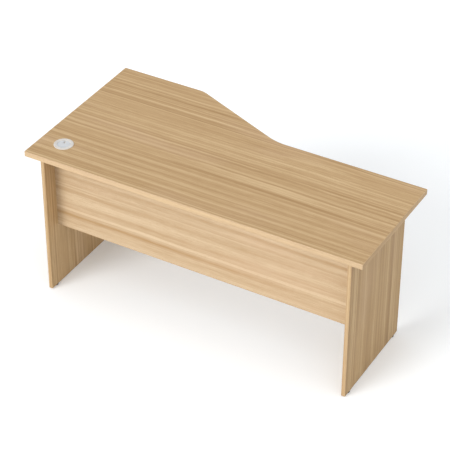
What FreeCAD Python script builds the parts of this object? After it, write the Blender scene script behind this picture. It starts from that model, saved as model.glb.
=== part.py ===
"""Teacher's desk with a wave-shaped worktop, panel ends, a modesty panel, levelling feet and a cable port.

All sizes are in millimetres. The origin is on the floor under the middle of the desk, +Z is up, +X runs
along the desk towards its deep end, and -Y is the side where the user sits, across from the modesty panel.
Every board is faced chipboard with glued edging strips, and the boards are joined by cam locks and dowels.
"""

import FreeCAD, Part
import math
import os
from FreeCAD import Vector

# Driving dimensions of the desk.
DESK_LENGTH = 1600.0
DEEP_END_DEPTH = 800.0
SHALLOW_END_DEPTH = 600.0
DESK_HEIGHT = 730.0
WORKTOP_THICKNESS = 25.0
PANEL_THICKNESS = 18.0
FLOOR_GAP = 5.0

# The wave: the user's edge steps from the deep end to the shallow end along one slanted line.
WAVE_START_FROM_DEEP_END = 415.0
WAVE_END_FROM_DEEP_END = 891.0
WAVE_OUTER_BEND_RADIUS = 100.0
WAVE_INNER_BEND_RADIUS = 250.0

# End panels and modesty panel. The worktop stands out past the end panels on all sides.
END_OVERHANG = 60.0
REAR_OVERHANG = 30.0
FRONT_OVERHANG = 70.0
MODESTY_SETBACK = 74.0
MODESTY_HEIGHT = 390.0

# Edging: thick strips where hands and knees meet the board, a thin one under the end panels.
EDGING = 2.0
FOOT_EDGING = 1.0
EDGE_ROUNDING = 1.5
CORNER_ROUNDING = 3.0

# Cam lock, its bolt, its cover cap and the wooden dowel.
CAM_RADIUS = 7.5
CAM_HEIGHT = 12.5
CAM_BORE_RADIUS = 7.6
CAM_BORE_DEPTH = 13.5
CAM_TO_EDGE = 34.0
CAM_CAVITY_START = 56.0
CAM_SLOT_START = 28.0
CAM_SLOT_END = 140.0
CAM_CLEARANCE = 0.3
BOLT_HEAD_RADIUS = 3.2
BOLT_HEAD_START = 2.6
BOLT_NECK_START = 5.0
BOLT_NECK_RADIUS = 1.9
BOLT_SHANK_START = 8.4
BOLT_SHANK_RADIUS = 3.5
BOLT_SHANK_BORE_RADIUS = 4.0
BOLT_THREAD_RADIUS = 2.5
BOLT_THREAD_LENGTH = 11.0
BOLT_THREAD_BORE_RADIUS = 2.55
CAP_RADIUS = 8.75
CAP_THICKNESS = 1.2
CAP_ROUNDING = 0.6
CAP_PEG_RADIUS = 2.2
CAP_PEG_LENGTH = 2.6
DRIVE_RADIUS = 2.5
DRIVE_DEPTH = 3.2
DRIVE_SLOT_LENGTH = 9.0
DRIVE_SLOT_WIDTH = 1.5
DRIVE_SLOT_DEPTH = 2.2
DOWEL_RADIUS = 4.0
DOWEL_BORE_RADIUS = 4.05
DOWEL_IN_FACE = 11.0
DOWEL_IN_EDGE = 19.0
DOWEL_CHAMFER = 1.0
BORE_SPARE_DEPTH = 1.0

# Where the fixings sit, measured along the boards. A long end panel has one more cam, midway.
END_CAM_FROM_REAR_EDGE = 150.0
END_CAM_FROM_FRONT_EDGE = 60.0
END_DOWEL_FROM_REAR_EDGE = 35.0
END_DOWEL_FROM_FRONT_EDGE = 120.0
LONG_PANEL = 600.0
MODESTY_CAMS_FROM_BOTTOM = (50.0, 340.0)
MODESTY_DOWELS_FROM_BOTTOM = (100.0, 290.0)
MODESTY_TOP_CAM_SPACING = 560.0
MODESTY_TOP_DOWEL_SPACING = 480.0

# Levelling foot: a nylon pad that stands on the floor, and a stud that turns in it and in a threaded insert.
FOOT_FROM_PANEL_EDGE = 40.0
FOOT_TRAVEL = 10.0
PAD_RADIUS = 11.0
PAD_HEIGHT = 4.7
PAD_CHAMFER = 1.0
PAD_KEY_HOLE_RADIUS = 3.2
STUD_RADIUS = 4.0
STUD_TOP = 35.0
STUD_TIP_CHAMFER = 1.0
STUD_HEAD_RADIUS = 6.5
STUD_HEAD_BOTTOM = 1.4
STUD_HEAD_TOP = 3.2
STUD_SOCKET_RADIUS = 2.3
STUD_SOCKET_DEPTH = 4.0
RUNNING_CLEARANCE = 0.1
INSERT_RADIUS = 6.0
INSERT_BORE_RADIUS = 4.06
INSERT_LENGTH = 24.0
INSERT_FLANGE_RADIUS = 7.5
INSERT_FLANGE_THICKNESS = 1.2
INSERT_BORE_CLEARANCE = 0.05
STUD_POCKET_RADIUS = 4.5
STUD_POCKET_TOP = 38.0

# Cable port: a liner in a round hole, a cover that lifts out and a disc that turns to open the cable slot.
PORT_FROM_DEEP_END = 115.0
PORT_FROM_REAR_EDGE = 129.0
PORT_HOLE_RADIUS = 40.0
LINER_SLEEVE_RADIUS = 39.8
LINER_BORE_RADIUS = 38.0
LINER_SLEEVE_DEPTH = 22.0
LINER_FLANGE_RADIUS = 43.0
LINER_FLANGE_HEIGHT = 2.2
LINER_FLANGE_ROUNDING = 1.6
LINER_LEDGE_RADIUS = 36.0
LINER_LEDGE_DEPTH = 7.5
LINER_LEDGE_THICKNESS = 2.0
COVER_RADIUS = 37.7
COVER_TOP = 2.0
COVER_RING_INNER_RADIUS = 29.0
COVER_RING_BEVEL = 0.8
COVER_SKIRT_WALL = 1.6
COVER_FLOOR_TOP = -1.6
COVER_FLOOR_THICKNESS = 1.6
COVER_SLOT_WIDTH = 18.0
COVER_SLOT_ENDS = (15.0, 26.0)
SHUTTER_RADIUS = 28.6
SHUTTER_THICKNESS = 1.8
SHUTTER_ROUNDING = 0.4
SHUTTER_NOTCH_WIDTH = 9.0
SHUTTER_NOTCH_ENDS = (12.0, 21.0)
SHUTTER_PIN_RADIUS = 2.4
SHUTTER_PIN_CLEARANCE = 0.08
SHUTTER_PIN_HEAD_RADIUS = 3.4
SHUTTER_PIN_HEAD_THICKNESS = 1.2
SHUTTER_NOTCH_ANGLE = 285.0
COVER_SLOT_ANGLE = 324.0
THIN_GAP = 0.2

# Levels and planes worked out from the driving dimensions.
WORKTOP_TOP = DESK_HEIGHT
WORKTOP_UNDERSIDE = DESK_HEIGHT - WORKTOP_THICKNESS
HALF_LENGTH = DESK_LENGTH / 2
REAR_Y = DEEP_END_DEPTH / 2
DEEP_FRONT_Y = REAR_Y - DEEP_END_DEPTH
SHALLOW_FRONT_Y = REAR_Y - SHALLOW_END_DEPTH
PANEL_OUTER_X = HALF_LENGTH - END_OVERHANG
PANEL_INNER_X = PANEL_OUTER_X - PANEL_THICKNESS
PANEL_MIDDLE_X = (PANEL_OUTER_X + PANEL_INNER_X) / 2
PANEL_REAR_Y = REAR_Y - REAR_OVERHANG
PANEL_FRONT_Y = {1: DEEP_FRONT_Y + FRONT_OVERHANG, -1: SHALLOW_FRONT_Y + FRONT_OVERHANG}
MODESTY_REAR_Y = PANEL_REAR_Y - MODESTY_SETBACK
MODESTY_FRONT_Y = MODESTY_REAR_Y - PANEL_THICKNESS
MODESTY_MIDDLE_Y = (MODESTY_REAR_Y + MODESTY_FRONT_Y) / 2
MODESTY_BOTTOM = WORKTOP_UNDERSIDE - MODESTY_HEIGHT
PORT_CENTRE = Vector(HALF_LENGTH - PORT_FROM_DEEP_END, REAR_Y - PORT_FROM_REAR_EDGE, WORKTOP_TOP)

UP = Vector(0, 0, 1)
DOWN = Vector(0, 0, -1)
TO_USER = Vector(0, -1, 0)
TO_DEEP_END = Vector(1, 0, 0)
TO_SHALLOW_END = Vector(-1, 0, 0)
TINY = 0.01
TOOL_SPARE = 1.0
HEX_SIDES = 6


def box(x0, x1, y0, y1, z0, z1):
    """A box between two opposite corners."""
    return Part.makeBox(x1 - x0, y1 - y0, z1 - z0, Vector(x0, y0, z0))


def rod(start, direction, radius, length):
    """A cylinder from a start point along a direction."""
    return Part.makeCylinder(radius, length, start, direction)


def turned(profile, centre):
    """A solid of revolution about the vertical through centre, from (radius, height) points."""
    points = [Vector(r, 0, z) for r, z in profile]
    face = Part.Face(Part.makePolygon(points + points[:1]))
    solid = face.revolve(Vector(0, 0, 0), UP, 360)
    solid.translate(centre)
    return solid


def outline(corners):
    """A closed flat wire through (x, y, radius) corners, rounded by tangent arcs where the radius isn't 0."""
    edges = []
    entry, leave = [], []
    count = len(corners)
    for i, (x, y, radius) in enumerate(corners):
        here = Vector(x, y, 0)
        before = (Vector(*corners[i - 1][:2], 0) - here).normalize()
        after = (Vector(*corners[(i + 1) % count][:2], 0) - here).normalize()
        half_angle = before.getAngle(after) / 2
        reach = radius / math.tan(half_angle)
        bisector = (before + after).normalize()
        nearest = here + bisector * (radius / math.sin(half_angle) - radius)
        entry.append(here + before * reach)
        leave.append(here + after * reach)
        if radius > 0:
            edges.append(Part.Arc(entry[i], nearest, leave[i]).toShape())
    for i in range(count):
        edges.append(Part.LineSegment(leave[i], entry[(i + 1) % count]).toShape())
    return Part.Wire(Part.__sortEdges__(edges))


def slab(wire, bottom, top):
    """A flat wire filled and raised from one level to another."""
    solid = Part.Face(wire).extrude(Vector(0, 0, top - bottom))
    solid.translate(Vector(0, 0, bottom))
    return solid


def with_round_edges(solid, radius, is_rounded):
    """The solid with a fillet on each edge that the test picks."""
    return solid.makeFillet(radius, [e for e in solid.Edges if is_rounded(e)])


def cut_all(solid, tools):
    """The solid with every tool taken away."""
    for tool in tools:
        solid = solid.cut(tool)
    return solid.removeSplitter()


def placed(shape, origin, along, outward):
    """A copy of a shape, its own X turned to along, its Z to outward and its origin moved to a point."""
    across = outward.cross(along)
    rotation = FreeCAD.Rotation(along, across, outward, "ZXY")
    copy = shape.copy()
    copy.Placement = FreeCAD.Placement(origin, rotation)
    return copy


# ---------------------------------------------------------------- fixings


class CamJoint:
    """One cam lock: its axis point on the board's face, the way its bolt runs and the face's outward side."""

    def __init__(self, face_point, bolt_direction, face_outward):
        self.face_point = face_point
        self.bolt_direction = bolt_direction
        self.face_outward = face_outward
        self.bolt_axis_point = face_point - face_outward * (PANEL_THICKNESS / 2)

    def cam(self):
        """The cam with its head cavity, neck slot and cross drive, turned to the locked position."""
        body = Part.makeCylinder(CAM_RADIUS, CAM_HEIGHT, Vector(0, 0, -CAM_HEIGHT))
        middle = Vector(0, 0, -PANEL_THICKNESS / 2)
        cavity_half = BOLT_HEAD_RADIUS + CAM_CLEARANCE
        slot_half = BOLT_NECK_RADIUS + CAM_CLEARANCE
        cavity_inner = BOLT_HEAD_START - 2 * CAM_CLEARANCE
        cavity_outer = math.hypot(BOLT_NECK_START, BOLT_HEAD_RADIUS) + CAM_CLEARANCE
        cavity = self._ring_sector(cavity_inner, cavity_outer, cavity_half, CAM_CAVITY_START)
        neck_slot = self._ring_sector(BOLT_NECK_START, CAM_RADIUS + TOOL_SPARE, slot_half, CAM_SLOT_START)
        entry_angle = math.radians(CAM_SLOT_END)
        entry_way = Vector(math.cos(entry_angle), -math.sin(entry_angle), 0)
        entry = rod(middle + entry_way * BOLT_HEAD_START, entry_way, cavity_half - CAM_CLEARANCE, CAM_RADIUS)
        drive = rod(Vector(0, 0, -DRIVE_DEPTH), UP, DRIVE_RADIUS, DRIVE_DEPTH)
        half_length, half_width = DRIVE_SLOT_LENGTH / 2, DRIVE_SLOT_WIDTH / 2
        slot_a = box(-half_length, half_length, -half_width, half_width, -DRIVE_SLOT_DEPTH, 0)
        slot_b = box(-half_width, half_width, -half_length, half_length, -DRIVE_SLOT_DEPTH, 0)
        cam = cut_all(body, [cavity, neck_slot, entry, drive, slot_a, slot_b])
        return placed(cam, self.face_point, self.bolt_direction, self.face_outward)

    @staticmethod
    def _ring_sector(inner, outer, half_height, start):
        """Part of a ring about the cam's axis, from a start angle beside the bolt round to the entry hole."""
        middle = -PANEL_THICKNESS / 2
        bottom, top = middle - half_height, middle + half_height
        corners = [(inner, bottom), (outer, bottom), (outer, top), (inner, top), (inner, bottom)]
        face = Part.Face(Part.makePolygon([Vector(x, 0, z) for x, z in corners]))
        sector = face.revolve(Vector(0, 0, 0), DOWN, start + CAM_SLOT_END)
        sector.rotate(Vector(0, 0, 0), UP, start)
        return sector

    def bolt(self):
        """The bolt: head in the cam, neck, shank to the board's edge and thread in the other board."""
        middle = Vector(0, 0, -PANEL_THICKNESS / 2)
        x_way = Vector(1, 0, 0)
        stations = [
            (BOLT_HEAD_START, BOLT_NECK_START, BOLT_HEAD_RADIUS),
            (BOLT_NECK_START, BOLT_SHANK_START, BOLT_NECK_RADIUS),
            (BOLT_SHANK_START, CAM_TO_EDGE, BOLT_SHANK_RADIUS),
            (CAM_TO_EDGE, CAM_TO_EDGE + BOLT_THREAD_LENGTH, BOLT_THREAD_RADIUS),
        ]
        lengths = [rod(middle + x_way * a, x_way, radius, b - a) for a, b, radius in stations]
        solid = lengths[0].fuse(lengths[1:]).removeSplitter()
        return placed(solid, self.face_point, self.bolt_direction, self.face_outward)

    def cap(self):
        """The cover cap, a thin disc on the board's face with a peg in the cam's drive."""
        disc = Part.makeCylinder(CAP_RADIUS, CAP_THICKNESS)
        disc = with_round_edges(disc, CAP_ROUNDING, lambda e: e.BoundBox.ZMin > CAP_THICKNESS - TINY)
        peg = rod(Vector(0, 0, -CAP_PEG_LENGTH), UP, CAP_PEG_RADIUS, CAP_PEG_LENGTH)
        cap = disc.fuse(peg).removeSplitter()
        return placed(cap, self.face_point, self.bolt_direction, self.face_outward)

    def bores_in_own_board(self):
        """The cam's bore in the face and the shank's bore from the board's edge."""
        seat = rod(self.face_point, self.face_outward * -1, CAM_BORE_RADIUS, CAM_BORE_DEPTH)
        shank = rod(self.bolt_axis_point, self.bolt_direction, BOLT_SHANK_BORE_RADIUS, CAM_TO_EDGE + TINY)
        return [seat, shank]

    def bores_in_other_board(self):
        """The thread's bore in the face that the bolt runs into."""
        start = self.bolt_axis_point + self.bolt_direction * CAM_TO_EDGE
        depth = BOLT_THREAD_LENGTH + BORE_SPARE_DEPTH
        return [rod(start, self.bolt_direction, BOLT_THREAD_BORE_RADIUS, depth)]


class DowelJoint:
    """One wooden dowel across the seam between a board's edge and another board's face."""

    def __init__(self, seam_point, into_face):
        self.seam_point = seam_point
        self.into_face = into_face

    def dowel(self):
        """The dowel with both of its ends chamfered."""
        length = DOWEL_IN_EDGE + DOWEL_IN_FACE
        start = self.seam_point - self.into_face * DOWEL_IN_EDGE
        pin = rod(Vector(0, 0, 0), UP, DOWEL_RADIUS, length)
        ends = [e for e in pin.Edges if e.Closed]
        pin = pin.makeChamfer(DOWEL_CHAMFER, ends)
        pin.Placement = FreeCAD.Placement(start, FreeCAD.Rotation(UP, self.into_face))
        return pin

    def bore_in_edge(self):
        """The bore in the board whose edge meets the seam."""
        length = DOWEL_IN_EDGE + BORE_SPARE_DEPTH
        return rod(self.seam_point, self.into_face * -1, DOWEL_BORE_RADIUS, length)

    def bore_in_face(self):
        """The bore in the board whose face meets the seam."""
        length = DOWEL_IN_FACE + BORE_SPARE_DEPTH
        return rod(self.seam_point, self.into_face, DOWEL_BORE_RADIUS, length)


def end_panel_joints(side):
    """Joints between an end panel and the worktop. The side is 1 at the deep end and -1 at the other."""
    inward = Vector(-side, 0, 0)
    cam_z = WORKTOP_UNDERSIDE - CAM_TO_EDGE
    front_y = PANEL_FRONT_Y[side]
    cam_ys = [PANEL_REAR_Y - END_CAM_FROM_REAR_EDGE, front_y + END_CAM_FROM_FRONT_EDGE]
    if PANEL_REAR_Y - front_y > LONG_PANEL:
        cam_ys.insert(1, sum(cam_ys) / 2)
    dowel_ys = [PANEL_REAR_Y - END_DOWEL_FROM_REAR_EDGE, front_y + END_DOWEL_FROM_FRONT_EDGE]
    cams = [CamJoint(Vector(side * PANEL_INNER_X, y, cam_z), UP, inward) for y in cam_ys]
    dowels = [DowelJoint(Vector(side * PANEL_MIDDLE_X, y, WORKTOP_UNDERSIDE), UP) for y in dowel_ys]
    return cams, dowels


def modesty_end_joints(side):
    """Cam and dowel joints between one end of the modesty panel and the end panel on that side."""
    outward = Vector(side, 0, 0)
    cam_x = side * (PANEL_INNER_X - CAM_TO_EDGE)
    cams = [
        CamJoint(Vector(cam_x, MODESTY_FRONT_Y, MODESTY_BOTTOM + up), outward, TO_USER)
        for up in MODESTY_CAMS_FROM_BOTTOM
    ]
    dowels = [
        DowelJoint(Vector(side * PANEL_INNER_X, MODESTY_MIDDLE_Y, MODESTY_BOTTOM + up), outward)
        for up in MODESTY_DOWELS_FROM_BOTTOM
    ]
    return cams, dowels


def modesty_top_joints():
    """Cam and dowel joints between the modesty panel's upper edge and the worktop."""
    cam_z = WORKTOP_UNDERSIDE - CAM_TO_EDGE
    cams = [
        CamJoint(Vector(step * MODESTY_TOP_CAM_SPACING, MODESTY_FRONT_Y, cam_z), UP, TO_USER)
        for step in (-1, 0, 1)
    ]
    dowels = [
        DowelJoint(Vector(step * MODESTY_TOP_DOWEL_SPACING, MODESTY_MIDDLE_Y, WORKTOP_UNDERSIDE), UP)
        for step in (-1, 1)
    ]
    return cams, dowels


# ---------------------------------------------------------------- worktop


def worktop_outline(inset):
    """The worktop's outline, or the bare board's, drawn in by an inset and with sharp corners."""
    wave_start_x = HALF_LENGTH - WAVE_START_FROM_DEEP_END
    wave_end_x = HALF_LENGTH - WAVE_END_FROM_DEEP_END
    slope = Vector(wave_end_x - wave_start_x, SHALLOW_FRONT_Y - DEEP_FRONT_Y, 0).normalize()
    shift = inset * math.tan(slope.getAngle(TO_SHALLOW_END) / 2)
    corner = 0.0 if inset else CORNER_ROUNDING
    right, left = HALF_LENGTH - inset, inset - HALF_LENGTH
    deep_y, shallow_y, rear_y = DEEP_FRONT_Y + inset, SHALLOW_FRONT_Y + inset, REAR_Y - inset
    return outline([
        (right, rear_y, corner),
        (left, rear_y, corner),
        (left, shallow_y, corner),
        (wave_end_x + shift, shallow_y, WAVE_INNER_BEND_RADIUS + inset),
        (wave_start_x + shift, deep_y, WAVE_OUTER_BEND_RADIUS - inset),
        (right, deep_y, corner),
    ])


def worktop_board(face_bores):
    """The bare worktop board with its cable port hole and the bores in its underside."""
    board = slab(worktop_outline(EDGING), WORKTOP_UNDERSIDE, WORKTOP_TOP)
    port_hole = rod(PORT_CENTRE, DOWN, PORT_HOLE_RADIUS, WORKTOP_THICKNESS)
    return cut_all(board, [port_hole] + face_bores)


def worktop_edging():
    """The worktop's four edging strips. The rear one laps the ends, and the wave one lies between them."""
    whole = slab(worktop_outline(0), WORKTOP_UNDERSIDE, WORKTOP_TOP)
    whole = with_round_edges(whole, EDGE_ROUNDING, lambda e: e.BoundBox.ZLength < TINY)
    low, high = WORKTOP_UNDERSIDE - TOOL_SPARE, WORKTOP_TOP + TOOL_SPARE
    band = whole.cut(slab(worktop_outline(EDGING), low, high))
    inner_x, inner_rear_y = HALF_LENGTH - EDGING, REAR_Y - EDGING
    zones = {
        "worktop_edging_rear": box(-HALF_LENGTH, HALF_LENGTH, inner_rear_y, REAR_Y, low, high),
        "worktop_edging_deep_end": box(inner_x, HALF_LENGTH, DEEP_FRONT_Y, inner_rear_y, low, high),
        "worktop_edging_shallow_end": box(-HALF_LENGTH, -inner_x, SHALLOW_FRONT_Y, inner_rear_y, low, high),
    }
    strips = {name: band.common(zone) for name, zone in zones.items()}
    wave = cut_all(band, list(zones.values()))
    strips["worktop_edging_wave"] = wave
    return strips


# ---------------------------------------------------------------- end panels


def foot_centres(side):
    """The floor points under one end panel's two levelling feet, rear and front."""
    rear = Vector(side * PANEL_MIDDLE_X, PANEL_REAR_Y - FOOT_FROM_PANEL_EDGE, 0)
    front = Vector(side * PANEL_MIDDLE_X, PANEL_FRONT_Y[side] + FOOT_FROM_PANEL_EDGE, 0)
    return {"rear": rear, "front": front}


def foot_bores(side):
    """What the feet need out of an end panel: a flange seat, the insert's bore and a pocket for the stud."""
    tools = []
    seat_radius = INSERT_FLANGE_RADIUS + INSERT_BORE_CLEARANCE
    bore_radius = INSERT_RADIUS + INSERT_BORE_CLEARANCE
    for centre in foot_centres(side).values():
        base = centre + UP * FLOOR_GAP
        tools.append(rod(base, UP, seat_radius, INSERT_FLANGE_THICKNESS))
        tools.append(rod(base, UP, bore_radius, INSERT_LENGTH))
        tools.append(rod(base, UP, STUD_POCKET_RADIUS, STUD_POCKET_TOP - FLOOR_GAP))
    return tools


def end_panel(side, bores):
    """One end panel as its bare board and three edging strips, the upright ones with rounded arrises."""
    front_y = PANEL_FRONT_Y[side]
    near_x, far_x = sorted((side * PANEL_INNER_X, side * PANEL_OUTER_X))
    whole = box(near_x, far_x, front_y, PANEL_REAR_Y, FLOOR_GAP, WORKTOP_UNDERSIDE)
    whole = with_round_edges(whole, EDGE_ROUNDING, lambda e: e.BoundBox.ZLength > PANEL_THICKNESS + TINY)
    inner_rear, inner_front = PANEL_REAR_Y - EDGING, front_y + EDGING
    board_bottom = FLOOR_GAP + FOOT_EDGING
    zones = {
        "board": box(near_x, far_x, inner_front, inner_rear, board_bottom, WORKTOP_UNDERSIDE),
        "edging_rear": box(near_x, far_x, inner_rear, PANEL_REAR_Y, FLOOR_GAP, WORKTOP_UNDERSIDE),
        "edging_front": box(near_x, far_x, front_y, inner_front, FLOOR_GAP, WORKTOP_UNDERSIDE),
        "edging_bottom": box(near_x, far_x, inner_front, inner_rear, FLOOR_GAP, board_bottom),
    }
    pieces = {name: whole.common(zone) for name, zone in zones.items()}
    pieces["board"] = cut_all(pieces["board"], bores + foot_bores(side))
    pieces["edging_bottom"] = cut_all(pieces["edging_bottom"], foot_bores(side))
    return pieces


# ---------------------------------------------------------------- modesty panel


def modesty_panel(bores):
    """The modesty panel as its bare board and the edging strip along its lower edge."""
    span = (-PANEL_INNER_X, PANEL_INNER_X, MODESTY_FRONT_Y, MODESTY_REAR_Y)

    def is_long_lower_edge(edge):
        return edge.BoundBox.XLength > PANEL_INNER_X and edge.BoundBox.ZMax < MODESTY_BOTTOM + TINY

    whole = with_round_edges(box(*span, MODESTY_BOTTOM, WORKTOP_UNDERSIDE), EDGE_ROUNDING, is_long_lower_edge)
    lower = box(*span, MODESTY_BOTTOM, MODESTY_BOTTOM + EDGING)
    return {"board": cut_all(whole.cut(lower), bores), "edging_bottom": whole.common(lower)}


# ---------------------------------------------------------------- levelling feet


def foot_pad(centre):
    """The round nylon pad, hollow for the stud's head, with a hole under it for the hex key."""
    inner = STUD_HEAD_RADIUS + RUNNING_CLEARANCE
    throat = STUD_RADIUS + RUNNING_CLEARANCE
    head_low, head_high = STUD_HEAD_BOTTOM - RUNNING_CLEARANCE, STUD_HEAD_TOP + RUNNING_CLEARANCE
    profile = [
        (PAD_KEY_HOLE_RADIUS, 0),
        (PAD_RADIUS - PAD_CHAMFER, 0),
        (PAD_RADIUS, PAD_CHAMFER),
        (PAD_RADIUS, PAD_HEIGHT - PAD_CHAMFER),
        (PAD_RADIUS - PAD_CHAMFER, PAD_HEIGHT),
        (throat, PAD_HEIGHT),
        (throat, head_high),
        (inner, head_high),
        (inner, head_low),
        (PAD_KEY_HOLE_RADIUS, head_low),
    ]
    return turned(profile, centre)


def foot_stud(centre):
    """The steel stud: a flat head that turns in the pad, a shank that turns in the insert, a hex socket."""
    profile = [
        (0, STUD_HEAD_BOTTOM),
        (STUD_HEAD_RADIUS, STUD_HEAD_BOTTOM),
        (STUD_HEAD_RADIUS, STUD_HEAD_TOP),
        (STUD_RADIUS, STUD_HEAD_TOP),
        (STUD_RADIUS, STUD_TOP - STUD_TIP_CHAMFER),
        (STUD_RADIUS - STUD_TIP_CHAMFER, STUD_TOP),
        (0, STUD_TOP),
    ]
    stud = turned(profile, Vector(0, 0, 0))
    turns = [math.tau * k / HEX_SIDES for k in range(HEX_SIDES + 1)]
    corners = [Vector(math.cos(turn), math.sin(turn), 0) * STUD_SOCKET_RADIUS for turn in turns]
    socket = Part.Face(Part.makePolygon(corners)).extrude(UP * STUD_SOCKET_DEPTH)
    socket.translate(UP * (STUD_HEAD_BOTTOM - TINY))
    stud = stud.cut(socket)
    stud.translate(centre)
    return stud


def foot_insert(centre):
    """The flanged insert in the end panel's lower edge."""
    profile = [
        (INSERT_BORE_RADIUS, 0),
        (INSERT_FLANGE_RADIUS, 0),
        (INSERT_FLANGE_RADIUS, INSERT_FLANGE_THICKNESS),
        (INSERT_RADIUS, INSERT_FLANGE_THICKNESS),
        (INSERT_RADIUS, INSERT_LENGTH),
        (INSERT_BORE_RADIUS, INSERT_LENGTH),
    ]
    return turned(profile, centre + UP * FLOOR_GAP)


# ---------------------------------------------------------------- cable port


def radial_slot(width, ends_at, angle, levels):
    """A cutting tool for a slot along one radius of the port, with both of its ends round."""
    half = width / 2
    start, end = ends_at
    bottom, top = levels
    ends = [rod(Vector(x, 0, bottom), UP, half, top - bottom) for x in (start, end)]
    slot = box(start, end, -half, half, bottom, top).fuse(ends).removeSplitter()
    slot.rotate(Vector(0, 0, 0), UP, angle)
    slot.translate(PORT_CENTRE)
    return slot


def port_liner():
    """The sleeve in the hole, its flange on the worktop and the ledge that the cover stands on."""
    ledge_top = -LINER_LEDGE_DEPTH
    ledge_bottom = ledge_top - LINER_LEDGE_THICKNESS
    profile = [
        (LINER_BORE_RADIUS, -LINER_SLEEVE_DEPTH),
        (LINER_SLEEVE_RADIUS, -LINER_SLEEVE_DEPTH),
        (LINER_SLEEVE_RADIUS, 0),
        (LINER_FLANGE_RADIUS, 0),
        (LINER_FLANGE_RADIUS, LINER_FLANGE_HEIGHT),
        (LINER_BORE_RADIUS, LINER_FLANGE_HEIGHT),
        (LINER_BORE_RADIUS, ledge_top),
        (LINER_LEDGE_RADIUS, ledge_top),
        (LINER_LEDGE_RADIUS, ledge_bottom),
        (LINER_BORE_RADIUS, ledge_bottom),
    ]
    liner = turned(profile, PORT_CENTRE)
    rim_z = WORKTOP_TOP + LINER_FLANGE_HEIGHT
    rim_width = 2 * LINER_FLANGE_RADIUS

    def is_outer_rim(edge):
        return edge.Closed and edge.BoundBox.ZMin > rim_z - TINY and edge.BoundBox.XLength > rim_width - TINY

    return with_round_edges(liner, LINER_FLANGE_ROUNDING, is_outer_rim)


def port_cover():
    """The cover: a bevelled ring, a skirt down to the ledge, and a floor with a cable slot and a pin hole."""
    skirt_bottom = -LINER_LEDGE_DEPTH
    skirt_inner = COVER_RADIUS - COVER_SKIRT_WALL
    floor_bottom = COVER_FLOOR_TOP - COVER_FLOOR_THICKNESS
    pin_hole = SHUTTER_PIN_RADIUS + SHUTTER_PIN_CLEARANCE
    profile = [
        (pin_hole, floor_bottom),
        (skirt_inner, floor_bottom),
        (skirt_inner, skirt_bottom),
        (COVER_RADIUS, skirt_bottom),
        (COVER_RADIUS, COVER_TOP - COVER_RING_BEVEL / 2),
        (COVER_RADIUS - COVER_RING_BEVEL, COVER_TOP),
        (COVER_RING_INNER_RADIUS + COVER_RING_BEVEL, COVER_TOP),
        (COVER_RING_INNER_RADIUS, COVER_TOP - COVER_RING_BEVEL),
        (COVER_RING_INNER_RADIUS, COVER_FLOOR_TOP),
        (pin_hole, COVER_FLOOR_TOP),
    ]
    cover = turned(profile, PORT_CENTRE)
    levels = (floor_bottom - TOOL_SPARE, COVER_FLOOR_TOP + TINY)
    slot = radial_slot(COVER_SLOT_WIDTH, COVER_SLOT_ENDS, COVER_SLOT_ANGLE, levels)
    return cover.cut(slot)


def port_shutter():
    """The turning disc with its finger notch, and the pin that snaps through the cover's floor."""
    disc_bottom = COVER_FLOOR_TOP + THIN_GAP
    disc_top = disc_bottom + SHUTTER_THICKNESS
    head_top = COVER_FLOOR_TOP - COVER_FLOOR_THICKNESS - THIN_GAP
    head_bottom = head_top - SHUTTER_PIN_HEAD_THICKNESS
    profile = [
        (0, head_bottom),
        (SHUTTER_PIN_RADIUS, head_bottom),
        (SHUTTER_PIN_HEAD_RADIUS, head_top),
        (SHUTTER_PIN_RADIUS, head_top),
        (SHUTTER_PIN_RADIUS, disc_bottom),
        (SHUTTER_RADIUS, disc_bottom),
        (SHUTTER_RADIUS, disc_top - SHUTTER_ROUNDING),
        (SHUTTER_RADIUS - SHUTTER_ROUNDING, disc_top),
        (0, disc_top),
    ]
    disc = turned(profile, PORT_CENTRE)
    levels = (disc_bottom - TINY, disc_top + TOOL_SPARE)
    notch = radial_slot(SHUTTER_NOTCH_WIDTH, SHUTTER_NOTCH_ENDS, SHUTTER_NOTCH_ANGLE, levels)
    return disc.cut(notch)


# ---------------------------------------------------------------- assembly


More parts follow.
